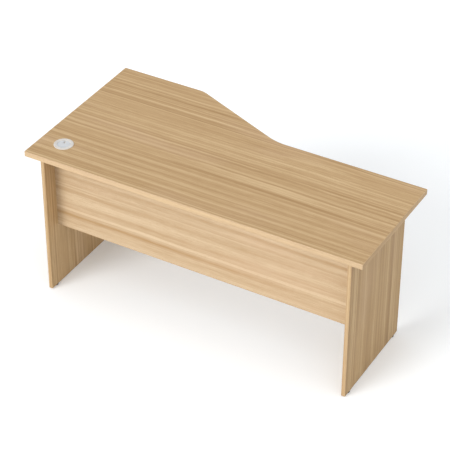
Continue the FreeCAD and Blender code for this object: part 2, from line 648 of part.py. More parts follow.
def build():
    """Every node of the desk by name."""
    nodes = {}
    sides = {"deep_end": 1, "shallow_end": -1}
    end_joints = {name: end_panel_joints(side) for name, side in sides.items()}
    tie_joints = {name: modesty_end_joints(side) for name, side in sides.items()}
    top_cams, top_dowels = modesty_top_joints()

    underside_bores = [d.bore_in_face() for d in top_dowels]
    for cam in top_cams:
        underside_bores += cam.bores_in_other_board()
    for cams, dowels in end_joints.values():
        underside_bores += [d.bore_in_face() for d in dowels]
        for cam in cams:
            underside_bores += cam.bores_in_other_board()
    nodes["worktop_board"] = worktop_board(underside_bores)
    nodes.update(worktop_edging())

    modesty_bores = [d.bore_in_edge() for d in top_dowels]
    for cam in top_cams:
        modesty_bores += cam.bores_in_own_board()
    for name, side in sides.items():
        cams, dowels = end_joints[name]
        tie_cams, tie_dowels = tie_joints[name]
        bores = [d.bore_in_edge() for d in dowels] + [d.bore_in_face() for d in tie_dowels]
        for cam in cams:
            bores += cam.bores_in_own_board()
        for cam in tie_cams:
            bores += cam.bores_in_other_board()
            modesty_bores += cam.bores_in_own_board()
        modesty_bores += [d.bore_in_edge() for d in tie_dowels]
        for piece, shape in end_panel(side, bores).items():
            nodes[f"{name}_panel_{piece}"] = shape
    for piece, shape in modesty_panel(modesty_bores).items():
        nodes[f"modesty_panel_{piece}"] = shape

    groups = {
        "end_panel_to_worktop": [joint for cams, _ in end_joints.values() for joint in cams],
        "modesty_to_end_panel": [joint for cams, _ in tie_joints.values() for joint in cams],
        "modesty_to_worktop": top_cams,
    }
    dowel_groups = {
        "end_panel_to_worktop": [joint for _, dowels in end_joints.values() for joint in dowels],
        "modesty_to_end_panel": [joint for _, dowels in tie_joints.values() for joint in dowels],
        "modesty_to_worktop": top_dowels,
    }
    for group, joints in groups.items():
        nodes[f"{group}_cams"] = Part.makeCompound([j.cam() for j in joints])
        nodes[f"{group}_cam_bolts"] = Part.makeCompound([j.bolt() for j in joints])
        nodes[f"{group}_cam_caps"] = Part.makeCompound([j.cap() for j in joints])
    for group, joints in dowel_groups.items():
        nodes[f"{group}_dowels"] = Part.makeCompound([j.dowel() for j in joints])

    for name, side in sides.items():
        for place, centre in foot_centres(side).items():
            nodes[f"{name}_{place}_foot_insert"] = foot_insert(centre)
            nodes[f"{name}_{place}_foot_stud"] = foot_stud(centre)
            nodes[f"{name}_{place}_foot_pad"] = foot_pad(centre)

    nodes["cable_port_liner"] = port_liner()
    nodes["cable_port_cover"] = port_cover()
    nodes["cable_port_shutter"] = port_shutter()
    return nodes


def main():
    """Writes one STEP file for each node."""
    os.makedirs("parts", exist_ok=True)
    for name, shape in build().items():
        shape.exportStep(f"parts/{name}.step")


main()
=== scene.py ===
"""The looks of a wave-shaped teacher's desk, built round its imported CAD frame.

Lengths are in metres in the desk's own frame: +Z up, +X towards the deep end, -Y towards the seated user.
Each sub-assembly is a class that dresses its CAD nodes and builds finer pieces in place of some of them.
"""

import logging
import math
from collections.abc import Callable
from dataclasses import dataclass
from enum import Enum

import bmesh
import bpy
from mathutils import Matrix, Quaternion, Vector


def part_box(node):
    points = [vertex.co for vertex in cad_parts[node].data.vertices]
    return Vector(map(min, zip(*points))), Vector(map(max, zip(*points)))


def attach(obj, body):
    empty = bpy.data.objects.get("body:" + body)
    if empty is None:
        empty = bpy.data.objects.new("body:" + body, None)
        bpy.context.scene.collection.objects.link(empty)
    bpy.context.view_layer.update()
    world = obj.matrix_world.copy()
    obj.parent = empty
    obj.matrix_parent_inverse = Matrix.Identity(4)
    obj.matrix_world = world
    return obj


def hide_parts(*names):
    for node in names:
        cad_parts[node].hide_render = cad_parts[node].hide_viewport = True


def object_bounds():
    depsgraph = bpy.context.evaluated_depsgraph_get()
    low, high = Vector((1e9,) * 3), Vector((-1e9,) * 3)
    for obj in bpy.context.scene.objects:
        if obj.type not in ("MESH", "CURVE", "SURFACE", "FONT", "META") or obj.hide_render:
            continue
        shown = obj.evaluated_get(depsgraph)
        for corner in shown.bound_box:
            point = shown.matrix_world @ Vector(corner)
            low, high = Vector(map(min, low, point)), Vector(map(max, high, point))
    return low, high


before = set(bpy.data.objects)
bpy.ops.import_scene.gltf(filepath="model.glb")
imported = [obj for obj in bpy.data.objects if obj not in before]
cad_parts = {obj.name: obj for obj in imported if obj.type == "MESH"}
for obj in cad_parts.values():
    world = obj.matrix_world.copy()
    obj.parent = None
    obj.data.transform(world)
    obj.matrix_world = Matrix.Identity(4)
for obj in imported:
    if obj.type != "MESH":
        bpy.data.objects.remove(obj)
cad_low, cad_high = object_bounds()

LOG = logging.getLogger("teachers_desk")
Colour = tuple[float, float, float]
Socket = bpy.types.NodeSocket
Value = Socket | float

MM = 0.001
UP = Vector((0.0, 0.0, 1.0))
ROUND_SIDES = 24
SIDES = ("deep_end", "shallow_end")
PLACES = ("rear", "front")
JOINT_GROUPS = ("end_panel_to_worktop", "modesty_to_end_panel", "modesty_to_worktop")


class Axis(Enum):
    """An axis of the desk, and its place in a vector."""

    LENGTH = 0
    DEPTH = 1
    HEIGHT = 2


# ---------------------------------------------------------------- materials


class NodeBoard:
    """A material's shader nodes, with short calls for the ones that the finishes use."""

    def __init__(self, name: str) -> None:
        """Makes an empty material with a Principled shader.

        Args:
            name: the material's name.
        """
        self.material = bpy.data.materials.new(name)
        self.material.use_nodes = True
        self.tree = self.material.node_tree
        self.shader = self.tree.nodes["Principled BSDF"]

    def add(self, kind: str, **settings: object) -> bpy.types.Node:
        """Adds a node and sets its properties.

        Args:
            kind: the node's type without the ShaderNode prefix.
            settings: property names and values.

        Returns:
            The new node.
        """
        node = self.tree.nodes.new(f"ShaderNode{kind}")
        for key, value in settings.items():
            setattr(node, key, value)
        return node

    def feed(self, target: Socket, source: object) -> None:
        """Links a socket to an input, or writes a plain value to it.

        Args:
            target: the input socket.
            source: an output socket, a number, or a tuple of numbers.
        """
        if isinstance(source, bpy.types.NodeSocket):
            self.tree.links.new(source, target)
        elif isinstance(source, tuple) and len(source) == 3 and target.type == "RGBA":
            target.default_value = (*source, 1.0)
        else:
            target.default_value = source

    def object_place(self) -> Socket:
        """The place on the piece, in metres in the desk's frame."""
        return self.add("TexCoord").outputs["Object"]

    def object_normal(self) -> Socket:
        """The surface's normal in the desk's frame."""
        return self.add("TexCoord").outputs["Normal"]

    def split(self, vector: Socket) -> list[Socket]:
        """The three components of a vector.

        Args:
            vector: the vector.

        Returns:
            Its x, y and z.
        """
        node = self.add("SeparateXYZ")
        self.feed(node.inputs[0], vector)
        return list(node.outputs)

    def join(self, x: Value, y: Value, z: Value) -> Socket:
        """A vector from three components.

        Args:
            x: first component.
            y: second component.
            z: third component.

        Returns:
            The vector.
        """
        node = self.add("CombineXYZ")
        for target, source in zip(node.inputs, (x, y, z)):
            self.feed(target, source)
        return node.outputs[0]

    def maths(self, operation: str, a: Value, b: Value = 0.0, c: Value = 0.0) -> Socket:
        """A Math node.

        Args:
            operation: the node's operation.
            a: first input.
            b: second input.
            c: third input.

        Returns:
            The result.
        """
        node = self.add("Math", operation=operation)
        for target, source in zip(node.inputs, (a, b, c)):
            self.feed(target, source)
        return node.outputs[0]

    def noise(self, place: Socket, scale: tuple[float, float, float], detail: float = 2.0,
              roughness: float = 0.5, shift: float = 0.0) -> Socket:
        """Noise from 0 to 1, stretched by a scale for each axis.

        Args:
            place: the place vector.
            scale: waves per metre along each axis.
            detail: octaves.
            roughness: how strong the fine octaves are.
            shift: moves the pattern, so that pieces differ.

        Returns:
            The noise value.
        """
        mapping = self.add("Mapping")
        mapping.inputs["Scale"].default_value = scale
        mapping.inputs["Location"].default_value = (shift, shift * 1.7, shift * 0.6)
        self.feed(mapping.inputs["Vector"], place)
        node = self.add("TexNoise")
        node.inputs["Scale"].default_value = 1.0
        node.inputs["Detail"].default_value = detail
        node.inputs["Roughness"].default_value = roughness
        self.feed(node.inputs["Vector"], mapping.outputs[0])
        return node.outputs["Fac"]

    def cells(self, place: Socket, scale: float) -> bpy.types.Node:
        """A pattern of cells.

        Args:
            place: the place vector.
            scale: cells per metre.

        Returns:
            The Voronoi node.
        """
        node = self.add("TexVoronoi", feature="F1")
        node.inputs["Scale"].default_value = scale
        self.feed(node.inputs["Vector"], place)
        return node

    def fit(self, value: Socket, start: float, end: float, low: float = 0.0, high: float = 1.0) -> Socket:
        """A value mapped from one range to another, eased in and out and held at its ends.

        Args:
            value: the value.
            start: where the mapped range begins.
            end: where it ends.
            low: the result at the start.
            high: the result at the end.

        Returns:
            The mapped value.
        """
        node = self.add("MapRange", interpolation_type="SMOOTHSTEP", clamp=True)
        names = ("Value", "From Min", "From Max", "To Min", "To Max")
        for name, source in zip(names, (value, start, end, low, high)):
            self.feed(node.inputs[name], source)
        return node.outputs["Result"]

    def surface(self, colour: object, roughness: Value, sheen: float) -> None:
        """Gives the shader its colour, roughness and specular level.

        Args:
            colour: the base colour.
            roughness: the roughness.
            sheen: the specular level.
        """
        self.feed(self.shader.inputs["Base Color"], colour)
        self.feed(self.shader.inputs["Roughness"], roughness)
        self.shader.inputs["Specular IOR Level"].default_value = sheen

    def ramp(self, value: Socket, stops: list[tuple[float, Colour]]) -> Socket:
        """A colour ramp.

        Args:
            value: the value that runs along the ramp.
            stops: (place, colour) pairs in rising order.

        Returns:
            The colour.
        """
        node = self.add("ValToRGB")
        elements = node.color_ramp.elements
        while len(elements) < len(stops):
            elements.new(0.5)
        for element, (place, colour) in zip(elements, stops):
            element.position = place
            element.color = (*colour, 1.0)
        self.feed(node.inputs[0], value)
        return node.outputs["Color"]

    def blend(self, share: Value, a: object, b: object, kind: str = "MIX") -> Socket:
        """Two colours mixed.

        Args:
            share: how much of the second colour.
            a: first colour.
            b: second colour.
            kind: the blend type.

        Returns:
            The mixed colour.
        """
        node = self.add("Mix", data_type="RGBA", blend_type=kind)
        self.feed(node.inputs["Factor"], share)
        self.feed(node.inputs[6], a)
        self.feed(node.inputs[7], b)
        return node.outputs[2]

    def bump(self, height: Socket, distance: float, strength: float) -> None:
        """Gives the shader a bump.

        Args:
            height: the height value.
            distance: the real height of one unit, in metres.
            strength: how much of it shows.
        """
        node = self.add("Bump")
        node.inputs["Distance"].default_value = distance
        node.inputs["Strength"].default_value = strength
        self.feed(node.inputs["Height"], height)
        self.feed(self.shader.inputs["Normal"], node.outputs[0])


@dataclass(frozen=True)
class OakFoil:
    """Light oak melamine foil on a chipboard core, or the matching edging strip.

    The printed grain runs along one axis. A board shows its core on the faces cut across its thickness. The
    figure of a strip doesn't change along its even axis, so that it follows the strip round a bend.
    """

    name: str
    run: Axis
    seed: float
    thickness_axis: Axis | None = None
    even_axis: Axis | None = None
    # tone multiplies the colour: a plain darker tone for the upright edging, and painted shade for the
    # shallow end panel's foil.
    tone: Colour = (1.0, 1.0, 1.0)
    contrast: float = 1.0
    lines_per_metre: float = 66.0
    wave_height: float = 0.016
    ripple_height: float = 0.004
    line_strength: float = 0.98
    group_strength: float = 0.82
    dash_strength: float = 0.30
    fibre_strength: float = 0.62
    pore_strength: float = 0.55
    wear_strength: float = 0.45
    chips_per_metre: float = 420.0
    flakes_per_metre: float = 1400.0
    sheen: float = 0.18
    relief: float = 0.00006
    deep: Colour = (0.355, 0.218, 0.098)
    body: Colour = (0.468, 0.312, 0.160)
    pale: Colour = (0.600, 0.434, 0.248)
    warm: Colour = (0.540, 0.370, 0.240)
    worn: Colour = (0.66, 0.52, 0.37)
    chip_dark: Colour = (0.235, 0.145, 0.075)
    chip_middle: Colour = (0.42, 0.29, 0.165)
    chip_pale: Colour = (0.60, 0.45, 0.28)
    chip_gap: Colour = (0.15, 0.09, 0.05)

    def make(self) -> bpy.types.Material:
        """Builds the finish as a material.

        Returns:
            The material.
        """
        board = NodeBoard(self.name)
        place = self._waving_place(board)
        colour, fibre, pores = self._grain(board, place)
        height = board.maths("SUBTRACT", board.maths("MULTIPLY", fibre, 0.6), pores)
        gloss = board.fit(fibre, 0.3, 0.7, 0.44, 0.56)
        if self.thickness_axis is None:
            colour, gloss = self._rubbed_arrises(board, colour, gloss)
        else:
            colour, height = self._show_core(board, colour, height)
        # The tone multiplies the foil's colour; on the shallow end panel this is painted shade.
        board.surface(board.blend(1.0, colour, self.tone, "MULTIPLY"), gloss, self.sheen)
        board.bump(height, self.relief, 0.5)
        return board.material

    def _waving_place(self, board: NodeBoard) -> Socket:
        """The place with the grain's axis first, and the grain's slow waves added across it.

        Args:
            board: the material.

        Returns:
            The waved place.
        """
        parts = board.split(board.object_place())
        along = parts[self.run.value]
        if self.even_axis is not None:
            parts[self.even_axis.value] = 0.0
        across = [part for axis, part in enumerate(parts) if axis != self.run.value]
        straight = board.join(along, *across)
        slow = board.noise(straight, (1.5, 2.2, 2.2), 1.0, 0.5, self.seed + 3.0)
        quick = board.noise(straight, (8.0, 22.0, 22.0), 1.0, 0.5, self.seed + 5.0)
        wave = board.maths("MULTIPLY", board.maths("SUBTRACT", slow, 0.5), self.wave_height)
        ripple = board.maths("MULTIPLY", board.maths("SUBTRACT", quick, 0.5), self.ripple_height)
        shift = board.maths("ADD", wave, ripple)
        return board.join(along, *(board.maths("ADD", part, shift) for part in across))

    def _grain(self, board: NodeBoard, place: Socket) -> tuple[Socket, Socket, Socket]:
        """The foil's printed figure.

        Args:
            board: the material.
            place: the waved place, grain axis first.

        Returns:
            Its colour, its fibre value and its pores.
        """
        seed = self.seed
        pitch = self.lines_per_metre
        lines = board.noise(place, (0.12, pitch, pitch), 3.0, 0.62, seed)
        come_and_go = board.noise(place, (0.7, 11.0, 11.0), 1.0, 0.5, seed + 47.0)
        come_and_go = board.fit(come_and_go, 0.38, 0.60, 0.1, 1.3)
        groups = board.noise(place, (0.16, 1.35 * pitch, 1.35 * pitch), 0.0, 0.5, seed + 43.0)
        groups = board.maths("MULTIPLY_ADD", board.maths("SUBTRACT", groups, 0.5), come_and_go, 0.5)
        patches = board.noise(place, (2.4, 13.0, 13.0), 2.0, 0.5, seed + 11.0)
        dashes = board.noise(place, (5.5, 130.0, 130.0), 2.0, 0.6, seed + 19.0)
        fibre = board.noise(place, (16.0, 560.0, 560.0), 2.0, 0.6, seed + 17.0)
        tone = 0.5
        layers = ((lines, self.line_strength), (groups, self.group_strength),
                  (dashes, self.dash_strength), (fibre, self.fibre_strength))
        for layer, strength in layers:
            swing = board.maths("SUBTRACT", layer, 0.5)
            tone = board.maths("MULTIPLY_ADD", swing, strength * self.contrast, tone)
        colour = board.ramp(tone, [(0.12, self.deep), (0.5, self.body), (0.88, self.pale)])
        light_lines = board.noise(place, (0.20, 56.0, 56.0), 0.0, 0.4, seed + 23.0)
        colour = board.blend(board.fit(light_lines, 0.62, 0.72, 0.0, 0.62), colour, self.pale)
        dark_lines = board.noise(place, (0.30, 115.0, 115.0), 1.0, 0.4, seed + 29.0)
        colour = board.blend(board.fit(dark_lines, 0.64, 0.74, 0.0, 0.24), colour, self.deep)
        warmth = board.noise(place, (1.6, 9.0, 9.0), 1.0, 0.5, seed + 31.0)
        colour = board.blend(board.fit(warmth, 0.48, 0.75, 0.0, 0.30), colour, self.warm)
        pores = board.fit(board.noise(place, (55.0, 1900.0, 1900.0), 1.0, 0.5, seed + 37.0), 0.57, 0.68)
        pores = board.maths("MULTIPLY", pores, board.fit(patches, 0.35, 0.6, 0.25, 0.9))
        colour = board.blend(board.maths("MULTIPLY", pores, self.pore_strength), colour, self.deep)
        return colour, fibre, pores

    def _rubbed_arrises(self, board: NodeBoard, colour: Socket, gloss: Socket) -> tuple[Socket, Socket]:
        """Edging: the rounded arrises are a little paler and smoother, as sleeves and hands leave them.

        Args:
            board: the material.
            colour: the foil's colour.
            gloss: its roughness.

        Returns:
            The colour and the roughness with the wear added.
        """
        parts = [board.maths("ABSOLUTE", part) for part in board.split(board.object_normal())]
        square = board.maths("MAXIMUM", board.maths("MAXIMUM", parts[0], parts[1]), parts[2])
        arris = board.fit(square, 0.985, 0.80, 0.0, 1.0)
        scuff = board.noise(board.object_place(), (35.0, 35.0, 35.0), 3.0, 0.6, self.seed + 41.0)
        worn = board.maths("MULTIPLY", arris, board.fit(scuff, 0.35, 0.7, 0.25, 0.8))
        colour = board.blend(board.maths("MULTIPLY", worn, self.wear_strength), colour, self.worn)
        return colour, board.maths("MULTIPLY_ADD", worn, -0.14, gloss)

    def _show_core(self, board: NodeBoard, colour: Socket, height: Socket) -> tuple[Socket, Socket]:
        """Boards: bores and other cut faces show pressed wood chips in place of the foil.

        Args:
            board: the material.
            colour: the foil's colour.
            height: the foil's height.

        Returns:
            The colour and the height with the chips added.
        """
        facing = board.maths("ABSOLUTE", board.split(board.object_normal())[self.thickness_axis.value])
        cut = board.fit(facing, 0.75, 0.6)
        place = board.object_place()
        chips = board.cells(place, self.chips_per_metre)
        flakes = board.cells(place, self.flakes_per_metre)
        tint = board.split(chips.outputs["Color"])[0]
        core = board.ramp(tint, [(0.0, self.chip_dark), (0.5, self.chip_middle), (1.0, self.chip_pale)])
        gaps = board.fit(flakes.outputs["Distance"], 0.35, 0.75, 0.0, 0.5)
        core = board.blend(gaps, core, self.chip_gap)
        node = board.add("Mix", data_type="FLOAT")
        board.feed(node.inputs["Factor"], cut)
        board.feed(node.inputs[2], height)
        board.feed(node.inputs[3], board.maths("MULTIPLY", flakes.outputs["Distance"], -2.0))
        return board.blend(cut, colour, core), node.outputs[0]


@dataclass(frozen=True)
class MouldedPlastic:
    """Injection-moulded plastic with a spark-eroded texture, slight clouding and rubbed high spots."""

    name: str
    colour: Colour
    cloud: Colour
    roughness: float
    spark: float = 2600.0
    depth: float = 0.00004
    sheen: float = 0.45
    flake: float = 0.0

    def make(self) -> bpy.types.Material:
        """Builds the finish as a material.

        Returns:
            The material.
        """
        board = NodeBoard(self.name)
        place = board.object_place()
        clouds = board.noise(place, (60.0, 60.0, 60.0), 3.0, 0.6)
        grain = board.noise(place, (self.spark,) * 3, 2.0, 0.6, 7.0)
        scuffs = board.fit(board.noise(place, (140.0, 900.0, 420.0), 3.0, 0.7, 13.0), 0.60, 0.72)
        colour = board.blend(board.fit(clouds, 0.3, 0.7), self.colour, self.cloud)
        flecks = board.fit(grain, 0.56, 0.70, 0.0, 0.30 + self.flake)
        colour = board.blend(flecks, colour, self.cloud)
        rough = board.fit(clouds, 0.3, 0.7, self.roughness - 0.05, self.roughness + 0.06)
        board.surface(colour, board.maths("MULTIPLY_ADD", scuffs, -0.10, rough), self.sheen)
        board.bump(grain, self.depth, 0.6)
        return board.material


@dataclass(frozen=True)
class WorkedMetal:
    """Cast or plated metal, with fine tool marks round the piece's upright axis and a mottled surface."""

    name: str
    colour: Colour
    stain: Colour
    roughness: float
    tool_marks: float = 2200.0
    depth: float = 0.00003

    def make(self) -> bpy.types.Material:
        """Builds the finish as a material.

        Returns:
            The material.
        """
        board = NodeBoard(self.name)
        place = board.object_place()
        mottle = board.noise(place, (330.0, 330.0, 330.0), 4.0, 0.6)
        marks = board.noise(place, (90.0, 90.0, self.tool_marks), 2.0, 0.5, 5.0)
        pits = board.fit(board.noise(place, (1500.0,) * 3, 2.0, 0.6, 9.0), 0.60, 0.70)
        colour = board.blend(board.fit(mottle, 0.35, 0.7), self.colour, self.stain)
        rough = board.fit(mottle, 0.3, 0.7, self.roughness - 0.07, self.roughness + 0.09)
        board.surface(colour, rough, 0.5)
        board.shader.inputs["Metallic"].default_value = 1.0
        board.bump(board.maths("SUBTRACT", marks, board.maths("MULTIPLY", pits, 0.7)), self.depth, 0.5)
        return board.material


@dataclass(frozen=True)
class Beech:
    """Plain turned beech for the dowels, with its short flecks and end grain."""

    name: str
    pale: Colour = (0.62, 0.43, 0.26)
    dark: Colour = (0.47, 0.29, 0.155)
    fleck: Colour = (0.30, 0.17, 0.09)

    def make(self) -> bpy.types.Material:
        """Builds the finish as a material.

        Returns:
            The material.
        """
        board = NodeBoard(self.name)
        place = board.object_place()
        fibre = board.noise(place, (700.0, 700.0, 60.0), 3.0, 0.6)
        flecks = board.fit(board.noise(place, (1100.0, 1100.0, 240.0), 2.0, 0.5, 3.0), 0.58, 0.70)
        colour = board.blend(board.fit(fibre, 0.3, 0.7), self.pale, self.dark)
        colour = board.blend(board.maths("MULTIPLY", flecks, 0.6), colour, self.fleck)
        board.surface(colour, board.fit(fibre, 0.3, 0.7, 0.6, 0.75), 0.5)
        board.bump(board.maths("SUBTRACT", fibre, flecks), 0.00008, 0.6)
        return board.material


@dataclass(frozen=True)
class StudioWhite:
    """Matt white paint with a faint texture and a little light of its own."""

    name: str
    colour: Colour
    hollows: Colour
    glow: Colour
    grains_per_metre: float

    def make(self) -> bpy.types.Material:
        """Builds the finish as a material.

        Returns:
            The material.
        """
        board = NodeBoard(self.name)
        texture = board.noise(board.object_place(), (self.grains_per_metre,) * 3, 2.0, 0.5)
        board.surface(board.blend(texture, self.colour, self.hollows), 0.9, 0.0)
        board.feed(board.shader.inputs["Emission Color"], self.glow)
        board.shader.inputs["Emission Strength"].default_value = 1.0
        return board.material


def dress(node: str, finish: bpy.types.Material) -> None:
    """Puts a finish on every material slot of a CAD node.

    Args:
        node: the node's name.
        finish: the material.
    """
    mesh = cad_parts[node].data
    if not mesh.materials:
        mesh.materials.append(finish)
    for index in range(len(mesh.materials)):
        mesh.materials[index] = finish
    LOG.info("dressed %s in %s", node, finish.name)


def add_to_scene(name: str, data: bpy.types.ID) -> bpy.types.Object:
    """Makes an object and links it to the scene.

    Args:
        name: the object's name.
        data: its mesh, light or camera.

    Returns:
        The object.
    """
    thing = bpy.data.objects.new(name, data)
    bpy.context.scene.collection.objects.link(thing)
    return thing


# ---------------------------------------------------------------- turned meshes


class RingMesh:
    """A mesh of solids, each skinned over rings of points round an axis, in millimetres from its foot."""

    sharp_angle: float = math.radians(32.0)

    def __init__(self, foot: Vector, count: int) -> None:
        """Starts an empty mesh with one upright axis.

        Args:
            foot: the axis's lowest point, in metres.
            count: points in each ring.
        """
        self.count = count
        self.work = bmesh.new()
        self.start(foot, UP)

    def start(self, foot: Vector, way: Vector) -> None:
        """Starts the next solid.

        Args:
            foot: the point that its heights are measured from, in metres.
            way: the direction of its axis.
        """
        self.foot = foot
        self.lean = UP.rotation_difference(way)
        self.known: dict[tuple[int, float, float], bmesh.types.BMVert] = {}

    def point(self, index: int, radius: float, height: float) -> bmesh.types.BMVert:
        """The vertex at a place in a ring, made once.

        Args:
            index: its place in the ring.
            radius: its distance from the axis.
            height: its height.

        Returns:
            The vertex.
        """
        index %= self.count
        key = (index, round(radius, 4), round(height, 4))
        if key not in self.known:
            turn = math.tau * index / self.count
            offset = Vector((radius * math.cos(turn), radius * math.sin(turn), height)) * MM
            self.known[key] = self.work.verts.new(self.foot + self.lean @ offset)
        return self.known[key]

    def ring(self, radius: float | Callable[[float], float], height: float) -> list[bmesh.types.BMVert]:
        """One level ring.

        Args:
            radius: a number, or a function of the turn in radians.
            height: the ring's height.

        Returns:
            Its vertices in order.
        """
        turns = [math.tau * index / self.count for index in range(self.count)]
        radii = [radius(turn) if callable(radius) else radius for turn in turns]
        return [self.point(index, value, height) for index, value in enumerate(radii)]

    def face(self, corners: list[bmesh.types.BMVert]) -> None:
        """A face, if three or more of its corners differ.

        Args:
            corners: the corners in order, where neighbours may repeat.
        """
        kept = [corner for place, corner in enumerate(corners) if corner is not corners[place - 1]]
        if len(kept) > 2:
            self.work.faces.new(kept)

    def skin(self, rings: list[list[bmesh.types.BMVert]], closed: bool = False) -> None:
        """Faces between neighbouring rings.

        Args:
            rings: the rings in order.
            closed: also joins the last ring to the first.
        """
        pairs = list(zip(rings, rings[1:] + rings[:1]))
        for lower, upper in pairs if closed else pairs[:-1]:
            for index in range(self.count):
                after = (index + 1) % self.count
                self.face([lower[index], lower[after], upper[after], upper[index]])

    def lid(self, ring: list[bmesh.types.BMVert]) -> None:
        """One flat face across a ring."""
        self.work.faces.new(ring)

    def thread(self, levels: tuple[float, float], root: float, crest: float, pitch: float
               ) -> tuple[list[bmesh.types.BMVert], list[bmesh.types.BMVert]]:
        """A right-hand screw thread that runs out to its root at both ends.

        Args:
            levels: the lowest and highest heights.
            root: root radius.
            crest: crest radius.
            pitch: rise in each turn.

        Returns:
            The rings at its two ends.
        """
        low, high = levels
        depth_of_row = (1.0, 1.0, 0.0, 0.0)
        rows = len(depth_of_row)
        step = pitch / rows
        last = math.ceil((high - low) / step) + rows

        def corner(index: int, row: int) -> bmesh.types.BMVert:
            """The thread's vertex at a place in a ring and a row.

            Args:
                index: the place, which may pass the ring's end into the next lap.
                row: the row, counted up the whole thread.

            Returns:
                The vertex.
            """
            lap, index = divmod(index, self.count)
            row += lap * rows
            height = low - pitch + step * (row + rows * index / self.count)
            height = min(max(height, low), high)
            run_out = min(1.0, (height - low) / pitch, (high - height) / pitch)
            return self.point(index, root + (crest - root) * depth_of_row[row % rows] * run_out, height)

        for row in range(last + rows):
            for index in range(self.count):
                low_pair = [corner(index, row), corner(index + 1, row)]
                high_pair = [corner(index + 1, row + 1), corner(index, row + 1)]
                self.face(low_pair + high_pair)
        return self.ring(root, low), self.ring(root, high)

    def to_object(self, name: str, finish: bpy.types.Material) -> bpy.types.Object:
        """Turns the mesh into a smooth-shaded object.

        Args:
            name: the object's name.
            finish: its material.

        Returns:
            The object.
        """
        mesh = bpy.data.meshes.new(name)
        self.work.to_mesh(mesh)
        self.work.free()
        mesh.shade_smooth()
        mesh.materials.append(finish)
        return add_to_scene(name, mesh)

    def finish(self, name: str, finish: bpy.types.Material, body: str, *stands_for: str) -> None:
        """Turns the mesh into a piece of the desk that rides on a body.

        Args:
            name: the piece's name.
            finish: its material.
            body: the CAD body it moves with.
            stands_for: the CAD nodes it replaces.
        """
        bmesh.ops.recalc_face_normals(self.work, faces=self.work.faces[:])
        piece = self.to_object(name, finish)
        piece.data.set_sharp_from_angle(angle=self.sharp_angle)
        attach(piece, body)
        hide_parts(*stands_for)
        LOG.info("built %s: %d faces", name, len(piece.data.polygons))


def hexagon(half_width: float) -> Callable[[float], float]:
    """The radius of a hexagon at any turn, from half its width across the flats."""
    sector = math.radians(60.0)
    return lambda turn: half_width / math.cos(turn % sector - sector / 2)


def scallops(radius: float, depth: float, number: int) -> Callable[[float], float]:
    """The radius of a rim with shallow finger grooves, at any turn."""
    return lambda turn: radius - depth * (0.5 - 0.5 * math.cos(number * turn)) ** 2


def separate_solids(node: str) -> list[tuple[Vector, Vector]]:
    """The boxes of the separate solids in a CAD node.

    Args:
        node: the node's name.

    Returns:
        Each solid's lowest and highest corners.
    """
    work = bmesh.new()
    work.from_mesh(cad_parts[node].data)
    bmesh.ops.remove_doubles(work, verts=work.verts[:], dist=0.001 * MM)
    boxes = []
    waiting = set(work.verts)
    while waiting:
        edge_of_search = [waiting.pop()]
        solid = []
        while edge_of_search:
            vertex = edge_of_search.pop()
            solid.append(vertex.co.copy())
            near = {edge.other_vert(vertex) for edge in vertex.link_edges} & waiting
            waiting -= near
            edge_of_search += near
        low = Vector([min(point[axis] for point in solid) for axis in range(3)])
        high = Vector([max(point[axis] for point in solid) for axis in range(3)])
        boxes.append((low, high))
    work.free()
    return sorted(boxes, key=lambda box: tuple(box[0]))


def rod_axis(low: Vector, high: Vector) -> tuple[Vector, Vector, float]:
    """The axis of a rod in a box. It points up, or outwards from the middle of the desk.

    Args:
        low: the box's lowest corner.
        high: its highest corner.

    Returns:
        The axis's foot, its direction, and the rod's length in millimetres.
    """
    extent = high - low
    longest = max(range(3), key=lambda axis: extent[axis])
    middle = (low + high) / 2
    way = Vector((0.0, 0.0, 0.0))
    way[longest] = 1.0 if longest == Axis.HEIGHT.value else math.copysign(1.0, middle[longest])
    return middle - way * extent[longest] / 2, way, extent[longest] / MM


# ---------------------------------------------------------------- sub-assemblies


@dataclass
class Worktop:
    """The wave-shaped worktop and its four edging strips."""

    seed: float = 4.0

    def build(self) -> None:
        """Dresses the board and the strips, each strip's grain along itself."""
        dress("worktop_board", OakFoil("oak_worktop", Axis.LENGTH, self.seed, Axis.HEIGHT).make())
        lengthwise = OakFoil("oak_edging_lengthwise", Axis.LENGTH, self.seed + 2.0, even_axis=Axis.DEPTH,
                             body=(0.493, 0.352, 0.212)).make()
        depthwise = OakFoil("oak_edging_depthwise", Axis.DEPTH, self.seed + 6.0,
                            even_axis=Axis.LENGTH).make()
        dress("worktop_edging_rear", lengthwise)
        dress("worktop_edging_wave", lengthwise)
        for side in SIDES:
            dress(f"worktop_edging_{side}", depthwise)


@dataclass
class EndPanel:
    """One panel end with its upright edging and the thin strip under it. Its tone can darken and warm the
    panel's foil as painted shade.
    """

    side: str
    seed: float
    # Multiplies the panel foil's colour; white leaves it unchanged, and the shallow end's darker, warmer
    # value is painted shade.
    tone: Colour = (1.0, 1.0, 1.0)

    def build(self) -> None:
        """Dresses the board and its strips with the grain upright."""
        face = OakFoil(f"oak_{self.side}_panel", Axis.HEIGHT, self.seed, Axis.LENGTH, tone=self.tone,
                       body=(0.466, 0.308, 0.152))
        dress(f"{self.side}_panel_board", face.make())
        upright = OakFoil(f"oak_edging_{self.side}", Axis.HEIGHT, self.seed + 2.0, even_axis=Axis.DEPTH,
                          tone=(0.90, 0.90, 0.90))
        under = OakFoil(f"oak_edging_{self.side}_under", Axis.DEPTH, self.seed + 4.0,
                        even_axis=Axis.HEIGHT)
        for place in PLACES:
            dress(f"{self.side}_panel_edging_{place}", upright.make())
        dress(f"{self.side}_panel_edging_bottom", under.make())


